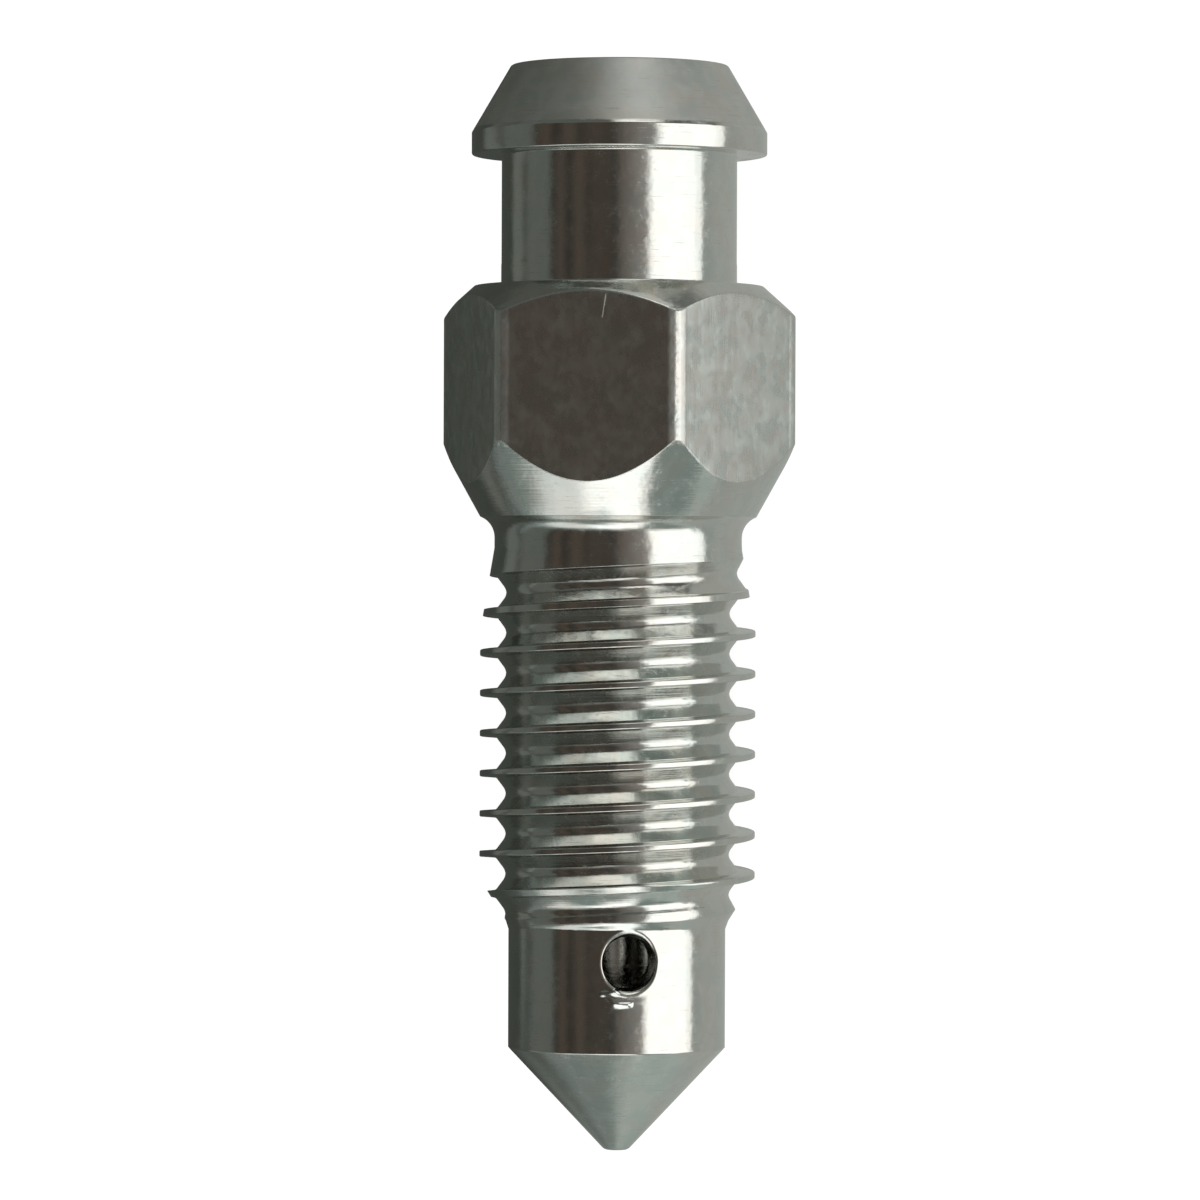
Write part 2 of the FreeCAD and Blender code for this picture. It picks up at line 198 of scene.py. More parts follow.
def hex_radius(azimuth):
    """Radius of the hex: the apothem over the cosine of the angle from the flat's middle, or at a
    corner the far crossing with the circle of its worn land."""
    from_flat = np.radians(np.mod(azimuth + 30, 60) - 30)
    from_corner = np.radians(30) - abs(from_flat)
    inner = CORNER_TIP - CORNER_ROUND
    rest = np.clip(CORNER_ROUND**2 - (inner * np.sin(from_corner))**2, 0, None)
    rounded = inner * np.cos(from_corner) + np.sqrt(rest)
    return np.where(from_corner < math.radians(corner_half_angle()), rounded, APOTHEM / np.cos(from_flat))


def groove_half():
    """Half of the groove's section, from its middle to the middle of the crest: flat root, hollow
    corner, sloping shoulder, steep flank and the crest's small rounding."""
    corners = [
        (-0.2, ROOT_RADIUS),
        (0.078, ROOT_RADIUS),
        (0.400, 3.02),
        (0.424, CREST_RADIUS),
        (0.5, CREST_RADIUS),
    ]
    path = rounded_path(corners, [0, 0.30, 0.08, 0.03, 0], [1, 1, 1, 1], [0, 4, 2, 2, 0])[1:]
    path[0, 0] = 0
    return path[:, 0, 0], path[:, 1, 0]


GROOVE_OFFSET, GROOVE_RADIUS = groove_half()


def shank_surface(azimuth, height):
    """Radius of the threaded shank: the smaller of the turned blank and the thread's groove, whose
    middle climbs one pitch in each turn and which rises out of the metal over its last 0.7 turn."""
    blank = np.interp(
        height,
        [LEAD_START, THREAD_FULL, THREAD_FADE, COLLAR_FOOT],
        [SHANK_RADIUS, CREST_RADIUS, CREST_RADIUS, COLLAR_RADIUS],
    )
    around = np.mod(azimuth, 360) / 360
    climb = (height - GROOVE_TOP) / PITCH - around
    turn = np.minimum(np.round(climb), 0)
    lift = RUNOUT_GROWTH * np.maximum(around + turn, 0)
    groove = np.interp(abs(climb - turn) * PITCH, GROOVE_OFFSET, GROOVE_RADIUS, right=2 * CREST_RADIUS)
    return np.minimum(blank, groove + lift)


def outlet_burr(azimuth, height):
    """Height of the metal pushed up round the outlet: a low uneven lip just outside the rim, and a
    second fold below it on the left, each a bell curve of the distance from the hole's axis."""
    side = SHANK_RADIUS * np.sin(np.radians(azimuth - OUTLET_AZIMUTH))
    rise = height - OUTLET_HEIGHT
    away = np.hypot(side, rise)
    angle = np.arctan2(rise, side)
    uneven = np.clip(0.5 + 0.8 * waves(angle, 5, 12), 0, 1.2)
    from_burr = np.mod(angle - math.radians(BURR_ANGLE) + np.pi, 2 * np.pi) - np.pi
    lower_left = np.exp(-((from_burr / 0.45) ** 2))
    lip = (0.012 * uneven + 0.035 * lower_left) * np.exp(-((away - rim_distance(angle) - 0.05) / 0.045) ** 2)
    fold = 0.03 * lower_left * np.exp(-((away - FOLD_REACH) / 0.05) ** 2)
    near = (away > 0.5) & (away < 1.4) & (abs(np.mod(azimuth - OUTLET_AZIMUTH + 180, 360) - 180) < 60)
    return np.where(near, lip + fold, 0)


def rim_distance(angle):
    """How far the outlet's broken edge reaches from the hole's axis: where its 45 degree cone comes
    out of the round shank, found by repeating the crossing a few times, and made a little uneven."""
    first_guess = 0.78
    away = np.full_like(angle, first_guess)
    for _ in range(6):
        surface = np.sqrt(SHANK_RADIUS**2 - (away * np.cos(angle)) ** 2)
        away = OUTLET_RADIUS + surface - (SHANK_RADIUS - BROKEN_EDGE)
    return away - RIM_WORN + 0.012 * waves(angle, 11, 9)


def helix_rows(azimuth):
    """Heights of the rows that follow the thread. One pitch is cut at the corners of the groove's
    section, and each column starts higher by its share of a pitch, so that one turn later a row
    meets the row one pitch further on. The last turn is squeezed in below the collar's top: first
    its share for the half groove, then what is left."""
    half = GROOVE_OFFSET
    section = np.concatenate([half, PITCH - half[-2:0:-1]])
    start = GROOVE_TOP + azimuth / 360 - THREAD_ROWS_TURNS
    turns = start + (np.arange(THREAD_ROWS_TURNS)[:, None] + section[None]).reshape(-1, 1)
    last = start + THREAD_ROWS_TURNS
    groove_share = 0.45
    room_left = COLLAR_TOP - last
    squeeze = np.minimum(1, room_left / 0.46)
    squeeze = squeeze * (0.55 + 0.45 * squeeze)
    share = section[:, None]
    low = last + np.minimum(share, groove_share) * squeeze
    high = np.clip((share - groove_share) / (1 - groove_share), 0, 1) * (room_left - groove_share * squeeze)
    return np.concatenate([turns, low + high]), len(section)


def square_angle(across, up):
    """Angle of a point on a square's rim, in radians, such that each side covers a quarter turn evenly."""
    right = (across >= abs(up)) * (np.pi / 4 * up / np.where(across == 0, 1, across))
    left = (-across >= abs(up)) * (np.pi + np.pi / 4 * up / np.where(across == 0, 1, across))
    top = (up > abs(across)) * (np.pi / 2 - np.pi / 4 * across / np.where(up == 0, 1, up))
    foot = (-up > abs(across)) * (3 * np.pi / 2 - np.pi / 4 * across / np.where(up == 0, 1, up))
    return np.mod(right + left + top + foot, 2 * np.pi)


def open_hole(azimuth, height, first_row, first_column, reach, surface_radius):
    """Bend a square block of the grid round the outlet. Its inner square goes onto the hole's rim, its
    border stays, and what lies between is shared out between the two. Gives the rim's vertices in
    order of angle, with their angles, and which cells fall away."""
    cells = HOLE_BLOCK
    step = (np.arange(cells + 1) - cells / 2) / (cells / 2)
    up, across = np.meshgrid(step, step, indexing="ij")
    size = np.maximum(abs(up), abs(across))
    rows = slice(first_row, first_row + cells + 1)
    columns = slice(first_column, first_column + cells + 1)
    block = np.stack([azimuth[rows, columns], height[rows, columns]])
    sense = np.sign(height[first_row + cells, first_column] - height[first_row, first_column])
    safe = np.where(size == 0, 1, size)
    row = np.clip((up / safe + 1) * cells / 2, 0, cells)
    column = np.clip((across / safe + 1) * cells / 2, 0, cells)
    row_low = np.minimum(row.astype(int), cells - 1)
    column_low = np.minimum(column.astype(int), cells - 1)
    row_part, column_part = row - row_low, column - column_low
    border = (
        block[:, row_low, column_low] * (1 - row_part) * (1 - column_part)
        + block[:, row_low + 1, column_low] * row_part * (1 - column_part)
        + block[:, row_low, column_low + 1] * (1 - row_part) * column_part
        + block[:, row_low + 1, column_low + 1] * row_part * column_part
    )
    angle = np.mod(sense * square_angle(across, up), 2 * np.pi)
    away = reach(angle)
    circle = np.stack([
        OUTLET_AZIMUTH + np.degrees(np.arcsin(away * np.cos(angle) / surface_radius)),
        OUTLET_HEIGHT + away * np.sin(angle),
    ])
    inner = 0.5
    share = np.clip((size - inner) / (1 - inner), 0, 1) ** 1.2
    azimuth[rows, columns], height[rows, columns] = circle * (1 - share) + border * share
    ring = np.nonzero(size == inner)
    order = np.argsort(angle[ring])
    vertices = (first_row + ring[0]) * azimuth.shape[1] + first_column + ring[1]
    gone = np.zeros(azimuth.shape, bool)
    middle = (step[:-1] + step[1:]) / 2
    inside = np.maximum(abs(middle)[:, None], abs(middle)[None]) < inner
    gone[first_row:first_row + cells, first_column:first_column + cells] = inside
    return vertices[order], angle[ring][order], gone


def screw_grid():
    """The whole skin of the screw as rows from the point up the outside, over the nipple's lip and
    down the bore, each row a value for every column: azimuth, height and radius."""
    columns = column_azimuths()
    helix, section = helix_rows(columns)
    point = rounded_path(
        [(0.0, 0.0), (TIP_RADIUS, 0.0), (SHANK_RADIUS, SHANK_FOOT), (SHANK_RADIUS, helix[0])],
        [0, 0.2, 0.14, 0],
        [2, 9, 34],
        4,
    )[1:-1]
    start = math.pi
    end = math.atan2(SEAT_EDGE - COLLAR_TOP, SEAT_EDGE_RADIUS - COLLAR_RADIUS - HOLLOW_RADIUS)
    swing = np.linspace(start, end, 9)
    hollow = [
        (COLLAR_RADIUS + HOLLOW_RADIUS * (1 + math.cos(angle)), COLLAR_TOP + HOLLOW_RADIUS * math.sin(angle))
        for angle in swing
    ]
    edge = hex_radius(columns)
    hex_and_nipple = [
        (edge, SEAT_EDGE + (edge - SEAT_EDGE_RADIUS) / tan(29)),
        (edge, HEX_TOP - (edge - CHAMFER_RADIUS) * tan(42)),
        (CHAMFER_RADIUS, HEX_TOP),
        (NECK_FOOT_RADIUS, HEX_TOP),
        (NECK_FOOT_RADIUS, NECK_STEP),
        (NECK_RADIUS, NECK_STEP + 0.06),
        (NECK_RADIUS, BEAD_FOOT),
        (BEAD_RADIUS, BEAD_FOOT),
        (BEAD_RADIUS, BEAD_SHOULDER),
        (MOUTH_RADIUS, MOUTH - 0.004),
        (MOUTH_EDGE_RADIUS, MOUTH - 0.004),
        (BORE_RADIUS, MOUTH - 0.25),
        (BORE_RADIUS, BORE_BLOCK_TOP + 0.05),
        (BORE_RADIUS, BORE_END),
        (0.0, BORE_END - BORE_RADIUS / tan(59)),
    ]
    upper = rounded_path(
        hollow + hex_and_nipple,
        [0] * 8 + [0.03, 0.06, 0.12, 0.05, 0.07, 0.03, 0.03, 0.05, 0.05, 0.09, 0.09, 0.04, 0.05, 0, 0.05, 0],
        [1] * 8 + [4, 8, 3, 3, 4, 1, 8, 3, 3, 6, 4, 2, 12, 33, 3],
        3,
    )[:-1]
    height = np.concatenate([point[:, 1], helix, np.broadcast_to(upper[:, 1], (len(upper), len(columns)))])
    radius = np.concatenate([
        np.broadcast_to(point[:, 0], (len(point), len(columns))),
        np.zeros_like(helix),
        np.broadcast_to(upper[:, 0], (len(upper), len(columns))),
    ])
    azimuth = np.broadcast_to(columns, height.shape).copy()
    return azimuth, height, radius, len(point), len(helix), section


def bore_columns(azimuth, height, first_row, middle_column):
    """Turn the bore's columns so that the block round the outlet is wide enough for the hole, which
    covers a far larger angle of the narrow bore than of the shank. The turn grows down the bore."""
    count = azimuth.shape[1]
    columns = azimuth[0]
    half = HOLE_BLOCK // 2
    place = np.array([0, middle_column - half, middle_column + half, count])
    behind = OUTLET_AZIMUTH + 360
    wanted = np.array([columns[0], behind - BORE_BLOCK_HALF, behind + BORE_BLOCK_HALF, columns[0] + 360])
    least_step = 0.02
    wanted[2] = min(wanted[2], wanted[3] - least_step * (count - place[2]))
    turned = np.interp(np.arange(count), place, wanted)
    turn_top, turn_foot = 25.0, 10.0
    share = np.clip((turn_top - height[first_row:]) / (turn_top - turn_foot), 0, 1)
    azimuth[first_row:] = columns * (1 - share) + turned * share


def tube_rings(angle):
    """The outlet's own surface, from its rim to the bore: rings whose distance from the hole's axis
    shrinks over the broken edge to the drilled size, and whose depth runs evenly down the wall."""
    rim = rim_distance(angle)
    wall = OUTLET_RADIUS * (1 + 0.004 * waves(angle, 3, 8))
    broken_edge = [(0.75, 0.02), (0.45, 0.06), (0.15, 0.11)]
    drilled_wall = [(0, 0.18), (0, 0.45), (0, 0.8), (0, 1.15)]
    rings = []
    for rim_share, down in broken_edge + drilled_wall:
        away = rim_share * rim + (1 - rim_share) * wall
        side, rise = away * np.cos(angle), away * np.sin(angle)
        outer = np.sqrt(SHANK_RADIUS**2 - side**2)
        inner = np.sqrt(BORE_RADIUS**2 - np.minimum(abs(side), OUTLET_RADIUS) ** 2)
        share = down / (SHANK_RADIUS - BORE_RADIUS + 0.12)
        forward = outer - np.minimum(down, share * (outer - inner)) if down > 0.4 else outer - down
        turn = math.radians(OUTLET_AZIMUTH)
        rings.append(np.stack([
            forward * math.cos(turn) - side * math.sin(turn),
            forward * math.sin(turn) + side * math.cos(turn),
            OUTLET_HEIGHT + rise,
        ], axis=-1))
    return np.array(rings)


def screw_mesh():
    """Join the rows into one closed skin. Every cell of the grid is a face; over the seam the
    thread's rows meet the rows one pitch further on, with a fan at each end of the thread, and the
    outlet's rings join the two rims that its blocks leave open."""
    azimuth, height, radius, helix_first, helix_count, section = screw_grid()
    rows, count = azimuth.shape
    middle = int(np.argmin(abs(azimuth[0] - OUTLET_AZIMUTH - 360)))
    first_column = middle - HOLE_BLOCK // 2
    lower = int(np.argmin(abs(height[:helix_first + helix_count, middle] - SHANK_BLOCK_FOOT)))
    turned = azimuth - 360
    outer_ring, outer_angle, outer_gone = open_hole(
        turned, height, lower, first_column,
        lambda angle: rim_distance(angle) + RIM_ROUND, SHANK_RADIUS,
    )
    azimuth[:helix_first + helix_count] = turned[:helix_first + helix_count] + 360
    shank = slice(SHANK_FIRST_ROW, helix_first + helix_count)
    radius[shank] = shank_surface(azimuth[shank], height[shank]) + outlet_burr(azimuth[shank], height[shank])

    bore_first = helix_first + helix_count + int(np.argmax(
        (radius[helix_first + helix_count:, 0] < BORE_RADIUS + 0.01)
        & (height[helix_first + helix_count:, 0] < MOUTH - 0.3)
    ))
    bore_columns(azimuth, height, bore_first, middle)
    bore_block = bore_first + int(np.argmin(abs(height[bore_first:, middle] - BORE_BLOCK_TOP)))
    turned = azimuth - 360
    inner_ring, _, inner_gone = open_hole(
        turned, height, bore_block, first_column,
        lambda angle: np.full_like(angle, OUTLET_RADIUS), BORE_RADIUS,
    )
    azimuth[bore_block:] = turned[bore_block:] + 360

    around = np.radians(azimuth)
    grid = np.stack([radius * np.cos(around), radius * np.sin(around), height], axis=-1).reshape(-1, 3)
    rings = tube_rings(outer_angle)
    ring_count = rings.shape[1]
    poles = np.array([[0, 0, 0], [0, 0, BORE_END - BORE_RADIUS / tan(59)]])
    points = np.concatenate([grid, rings.reshape(-1, 3), poles])

    index = np.arange(rows * count).reshape(rows, count)
    kept = ~(outer_gone | inner_gone)[:-1, :-1]
    cells = np.stack([index[:-1, :-1], index[:-1, 1:], index[1:, 1:], index[1:, :-1]], axis=-1)[kept]
    shift = np.arange(rows - 1)
    threaded = (shift >= helix_first) & (shift < helix_first + helix_count - section)
    plain = (shift < helix_first) | (shift >= helix_first + helix_count)
    over = np.where(threaded, shift + section, shift)[threaded | plain]
    here = shift[threaded | plain]
    seam = np.stack([index[here, -1], index[over, 0], index[over + 1, 0], index[here + 1, -1]], axis=-1)
    foot_fan = np.stack([
        np.full(section, index[helix_first, -1]),
        index[helix_first:helix_first + section, 0],
        index[helix_first + 1:helix_first + section + 1, 0],
    ], axis=-1)
    last = helix_first + helix_count
    head_fan = np.stack([
        index[last - section:last, -1],
        np.full(section, index[last, 0]),
        index[last - section + 1:last + 1, -1],
    ], axis=-1)
    between = len(grid) + np.arange(len(rings) * ring_count).reshape(-1, ring_count)
    tube = np.concatenate([outer_ring[None], between, inner_ring[None]])
    after = np.roll(tube, -1, axis=1)
    tube_cells = np.stack([tube[:-1], after[:-1], after[1:], tube[1:]], axis=-1).reshape(-1, 4)
    tip, apex = len(points) - 2, len(points) - 1
    tip_fan = np.stack([np.full(count, tip), np.roll(index[0], -1), index[0]], axis=-1)
    apex_fan = np.stack([np.full(count, apex), index[-1], np.roll(index[-1], -1)], axis=-1)
    faces = [cells, seam, tube_cells, foot_fan, head_fan, tip_fan, apex_fan]
    used = np.unique(np.concatenate([part.ravel() for part in faces]))
    rename = np.zeros(len(points), int)
    rename[used] = np.arange(len(used))
    mesh = bpy.data.meshes.new("bleeder_screw_skin")
    polygons = [face for part in faces for face in rename[part].tolist()]
    mesh.from_pydata(laid_down(points[used]).tolist(), [], polygons)
    mesh.polygons.foreach_set("use_smooth", np.ones(len(mesh.polygons), bool))
    mesh.update()
    return mesh


class Value:
    """A number, colour or vector on its way through a material."""

    def __init__(self, finish, socket):
        self.finish, self.socket = finish, socket

    def maths(self, operation, first, second):
        return self.finish.add("ShaderNodeMath", {"operation": operation}, {0: first, 1: second})

    def __add__(self, other):
        return self.maths("ADD", self, other)

    def __radd__(self, other):
        return self.maths("ADD", other, self)

    def __sub__(self, other):
        return self.maths("SUBTRACT", self, other)

    def __rsub__(self, other):
        return self.maths("SUBTRACT", other, self)

    def __mul__(self, other):
        return self.maths("MULTIPLY", self, other)

    def __rmul__(self, other):
        return self.maths("MULTIPLY", other, self)

    def __truediv__(self, other):
        return self.maths("DIVIDE", self, other)

    def __pow__(self, other):
        return self.maths("POWER", self, other)

    def __neg__(self):
        return self.maths("MULTIPLY", self, -1.0)

    def __abs__(self):
        return self.maths("ABSOLUTE", self, 0.0)

    def or_more(self, other):
        """The larger of two numbers."""
        return self.maths("MAXIMUM", self, other)


class Finish:
    """A material or world under construction."""

    def __init__(self, owner):
        owner.use_nodes = True
        self.tree = owner.node_tree
        self.tree.nodes.clear()

    def add(self, kind, settings=None, sockets=None, out=0):
        """One node: its settings first, then the values or links of its sockets."""
        node = self.tree.nodes.new(kind)
        for key, value in (settings or {}).items():
            setattr(node, key, value)
        for key, value in (sockets or {}).items():
            if isinstance(value, Value):
                self.tree.links.new(value.socket, node.inputs[key])
            else:
                node.inputs[key].default_value = value
        return Value(self, node.outputs[out]) if node.outputs else None

    def parts(self, vector):
        """The three parts of a vector."""
        split = self.add("ShaderNodeSeparateXYZ", None, {0: vector})
        return [Value(self, socket) for socket in split.socket.node.outputs]

    def band(self, value, low, high, bottom=0.0, top=1.0):
        """A smooth rise from bottom to top while the value goes from low to high."""
        return self.add(
            "ShaderNodeMapRange", {"interpolation_type": "SMOOTHSTEP"},
            {"Value": value, "From Min": low, "From Max": high, "To Min": bottom, "To Max": top},
        )

    def blend(self, share, first, second):
        """A colour between two colours."""
        return self.add("ShaderNodeMix", {"data_type": "RGBA"}, {0: share, 6: first, 7: second}, out=2)

    def noise(self, vector, scale, detail=4.0, rough=0.5, stretch=(1, 1, 1)):
        """Cloudy noise of a position, stretched along its axes."""
        placed = self.add("ShaderNodeMapping", None, {"Vector": vector, "Scale": stretch})
        return self.add(
            "ShaderNodeTexNoise", None,
            {"Vector": placed, "Scale": scale, "Detail": detail, "Roughness": rough},
        )

    def lines(self, place, scale, detail=4.0, rough=0.6):
        """Noise of one number: uneven lines."""
        return self.add(
            "ShaderNodeTexNoise", {"noise_dimensions": "1D"},
            {"W": place, "Scale": scale, "Detail": detail, "Roughness": rough},
        )


def burr(finish, across, along, up):
    """Two ragged ridges of pushed-up metal at the outlet's lower left, one below the other: steep
    towards the nipple and sloping towards the point, each a short way across."""
    turn = math.radians(OUTLET_AZIMUTH)
    side = across * math.cos(turn) - up * math.sin(turn)
    front = up * math.cos(turn) + across * math.sin(turn)
    rise = along - OUTLET_HEIGHT
    ragged = finish.noise(
        finish.add("ShaderNodeCombineXYZ", None, {0: side, 1: rise, 2: front}), 4.0, 0.0, 0.5
    )
    total = 0
    for middle, width, level in ((-0.50, 0.28, -0.70), (-0.19, 0.30, -0.99)):
        off_middle = abs(side - middle)
        below = level - rise + (ragged - 0.5) * 0.12
        ridge = finish.band(below, -0.06, 0.0) * (1 - finish.band(below, 0.0, 0.16))
        total = total + ridge * (1 - finish.band(off_middle, width * 0.5, width)) * (0.5 + ragged)
    return total * finish.band(front, 2.0, 2.2)


def scratch(finish, across, along, up):
    """A short groove near the top of the flat that faces up, a smooth step of the distance from a line."""
    off_line = across - 0.47 - (along - 21.0) * 0.16
    length = finish.band(along, 20.50, 20.60) * (1 - finish.band(along, 21.08, 21.20))
    return (1 - finish.band(off_line * off_line, 0.0, 0.0040)) * length * finish.band(up, 3.85, 3.88)


def zinc_plate():
    """Bright zinc over turned steel: rings from the lathe, duller flats with soft drawn lines and
    light and brown blotches, a matt nipple taper, cloudy stains in the plating, fine hairlines and
    specks, ragged hex corners, the burr below the outlet and one scratch."""
    material = bpy.data.materials.new("zinc_plated_steel")
    finish = Finish(material)
    place = finish.add("ShaderNodeTexCoord", out=3)
    cos, sin = math.cos(TILT), math.sin(TILT)
    move = (0, -(REST_SHIFT * cos + REST_HEIGHT * sin), REST_SHIFT * sin - REST_HEIGHT * cos)
    own = finish.add(
        "ShaderNodeMapping", None,
        {"Vector": place, "Location": move, "Rotation": (-TILT, 0, 0), "Scale": (1000, 1000, 1000)},
    )
    across, along, up = finish.parts(own)
    radius = (across * across + up * up) ** 0.5
    widest = abs(up * 0.5 + across * 0.866).or_more(abs(up * 0.5 - across * 0.866)).or_more(abs(up))
    flat = finish.band(widest, APOTHEM - 0.02, APOTHEM - 0.008)
    corner = finish.band(radius, 4.35, 4.40) * finish.band(widest, APOTHEM - 0.1, APOTHEM - 0.05)
    on_flank = finish.band(along, BEAD_SHOULDER + 0.05, BEAD_SHOULDER + 0.12) * finish.band(radius, 1.6, 2.4)

    rings = finish.lines(along + radius, 9.0, 5.0, 0.7)
    drawn = finish.noise(own, 3.0, 2.0, 0.6, (2.4, 0.25, 2.4))
    grain = finish.noise(own, 7.0, 1.0, 0.6)
    cloud = finish.noise(own, 0.9, 2.0, 0.6)
    patch = finish.noise(own, 2.4, 2.0, 0.6, (1.0, 0.8, 1.0))
    specks = finish.band(grain, 0.52, 0.72) * finish.band(patch, 0.38, 0.58) * (1 - on_flank) * (1 - flat)
    blotches = finish.noise(own, 3.2, 1.5, 0.5, (1.0, 0.7, 1.0))
    hairlines = finish.band(finish.noise(own, 2.2, 4.0, 0.7, (0.5, 14.0, 0.5)), 0.60, 0.68)

    cool = (0.66, 0.69, 0.665, 1)
    warm = (0.71, 0.69, 0.65, 1)
    bright = (0.74, 0.75, 0.72, 1)
    tarnish = (0.50, 0.50, 0.48, 1)
    pale_blotch = (0.79, 0.82, 0.79, 1)
    brown_blotch = (0.69, 0.665, 0.63, 1)
    colour = finish.blend(finish.band(cloud, 0.40, 0.62), cool, warm)
    colour = finish.blend(finish.band(patch, 0.42, 0.60) * 0.6, colour, bright)
    colour = finish.blend(hairlines * (1 - flat) * 0.5, colour, tarnish)
    colour = finish.blend(flat * finish.band(blotches, 0.54, 0.70), colour, pale_blotch)
    colour = finish.blend(flat * finish.band(-blotches, -0.46, -0.34), colour, brown_blotch)
    rough = (
        0.10 + finish.band(patch, 0.35, 0.65) * 0.05 + flat * 0.16 + on_flank * 0.36 + corner * 0.15
        + specks * 0.10 + hairlines * (1 - flat) * 0.16
    )

    marks = (
        (1 - flat) * rings * 0.14 + flat * drawn * 0.15 + patch * (0.28 - flat * 0.16) + corner * grain * 0.5
        + burr(finish, across, along, up) * 2.2 - scratch(finish, across, along, up) * 0.8
    )
    normal = finish.add("ShaderNodeBump", None, {"Strength": 0.4, "Distance": 0.00005, "Height": marks})
    shader = finish.add(
        "ShaderNodeBsdfPrincipled", None,
        {"Base Color": colour, "Metallic": 1.0, "Roughness": rough, "Normal": normal},
    )
    finish.add("ShaderNodeOutputMaterial", None, {"Surface": shader})
    return material


def pale_floor():
    """A plain pale floor: white to the camera, with the screw's soft shadow on it. Bright metal sees painted
    light and shade on it instead, as if lit from the right: painted light far out on the right, grey close by
    and a painted shadow of the screw on the left. Beyond the point it is greenish grey and beyond the nipple
    grey, both with painted shade on the left."""
    material = bpy.data.materials.new("floor")
    finish = Finish(material)
    place = finish.add("ShaderNodeTexCoord", out=3)
    across, along, _ = finish.parts(place)
    # Painted light and shade for glossy rays: a painted shadow of the screw in a strip on its left with grey
    # further left, grey on the right, and painted light far out on the right.
    shade = (0.058, 0.064, 0.055, 1)
    near_grey = (0.40, 0.415, 0.39, 1)
    far_grey = (0.36, 0.38, 0.355, 1)
    left_grey = (0.15, 0.16, 0.145, 1)
    white = (1.3, 1.3, 1.26, 1)
    seen = finish.blend(finish.band(across, -0.0034, -0.0012), shade, near_grey)
    seen = finish.blend(finish.band(across, 0.010, 0.020), seen, far_grey)
    seen = finish.blend(finish.band(-across, 0.0125, 0.0165), seen, left_grey)
    seen = finish.blend(finish.band(across, 0.030, 0.046), seen, white)

    # Beyond the point: painted shade, darker close by, with greenish grey on the right.
    near_shade = (0.085, 0.092, 0.084, 1)
    far_shade = (0.21, 0.238, 0.225, 1)
    green_grey = (0.42, 0.47, 0.44, 1)
    to_point = finish.blend(finish.band(-along, 0.017, 0.028), near_shade, far_shade)
    to_point = finish.blend(finish.band(across, -0.010, 0.006), to_point, green_grey)

    # Beyond the nipple: painted shade on the left and close by, and grey towards the horizon.
    left_shade = (0.09, 0.094, 0.084, 1)
    near_dark = (0.14, 0.146, 0.135, 1)
    horizon = (0.58, 0.59, 0.555, 1)
    to_nipple = finish.blend(finish.band(along, 0.050, 0.090), near_dark, horizon)
    to_nipple = finish.blend(finish.band(across + along * 0.12, -0.004, 0.004), left_shade, to_nipple)

    seen = finish.blend(finish.band(-along - across * 0.25, 0.013, 0.018), seen, to_point)
    seen = finish.blend(finish.band(along - across * 0.25, 0.018, 0.030), seen, to_nipple)

    dull = finish.add("ShaderNodeBsdfDiffuse", None, {"Color": (0.25, 0.25, 0.25, 1)})
    backdrop = finish.add("ShaderNodeEmission", None, {"Color": (1, 1, 1, 1), "Strength": 0.87})
    # Emission that only glossy rays see. It carries the painted light and shade above.
    painted_light_and_shade = finish.add("ShaderNodeEmission", None, {"Color": seen, "Strength": 1.0})
    to_camera = finish.add("ShaderNodeAddShader", None, {0: dull, 1: backdrop})
    camera_ray = finish.add("ShaderNodeLightPath", out=0)
    glossy_ray = finish.add("ShaderNodeLightPath", out=3)
    lit = finish.add("ShaderNodeMixShader", None, {0: camera_ray, 1: dull, 2: to_camera})
    mixed = finish.add("ShaderNodeMixShader", None, {0: glossy_ray, 1: lit, 2: painted_light_and_shade})
    finish.add("ShaderNodeOutputMaterial", None, {"Surface": mixed})
    return material


def sheet(name, width, length, material):
    """A flat rectangle on the ground."""
    x, y = width / 2, length / 2
    mesh = bpy.data.meshes.new(name)
    mesh.from_pydata([(-x, -y, 0), (x, -y, 0), (x, y, 0), (-x, y, 0)], [], [(0, 1, 2, 3)])
    mesh.materials.append(material)
    thing = bpy.data.objects.new(name, mesh)
    bpy.context.scene.collection.objects.link(thing)
    return thing


def own_point(azimuth, distance, height):
    """A point given round the screw's own axis, as a world point in metres."""
    turn = math.radians(azimuth)
    point = np.array([distance * math.cos(turn), distance * math.sin(turn), height])
    return Vector(laid_down(point).tolist())


def aim(thing, target, roll=0.0):
    """Turn a lamp or camera so that it looks at the target, image upright along the screw's axis."""
    back = (thing.location - target).normalized()
    up = Vector((0, math.cos(TILT), math.sin(TILT)))
    right = up.cross(back).normalized()
    up = back.cross(right)
    right, up = right * math.cos(roll) + up * math.sin(roll), up * math.cos(roll) - right * math.sin(roll)
    thing.rotation_mode = "QUATERNION"
    thing.rotation_quaternion = Matrix((right, up, back)).transposed().to_quaternion()


def overhead_lamp():
    """A wide soft lamp straight above, which only dull surfaces see."""
    light = bpy.data.lights.new("overhead", "AREA")
    light.shape = "RECTANGLE"
    light.size = light.size_y = LAMP_WIDTH * MM
    light.energy = 1.4
    thing = bpy.data.objects.new("overhead", light)
    bpy.context.scene.collection.objects.link(thing)
    thing.location = own_point(LAMP_AZIMUTH, LAMP_DISTANCE, CAMERA_HEIGHT)
    aim(thing, own_point(0, 0, CAMERA_HEIGHT))
    thing.visible_glossy = False


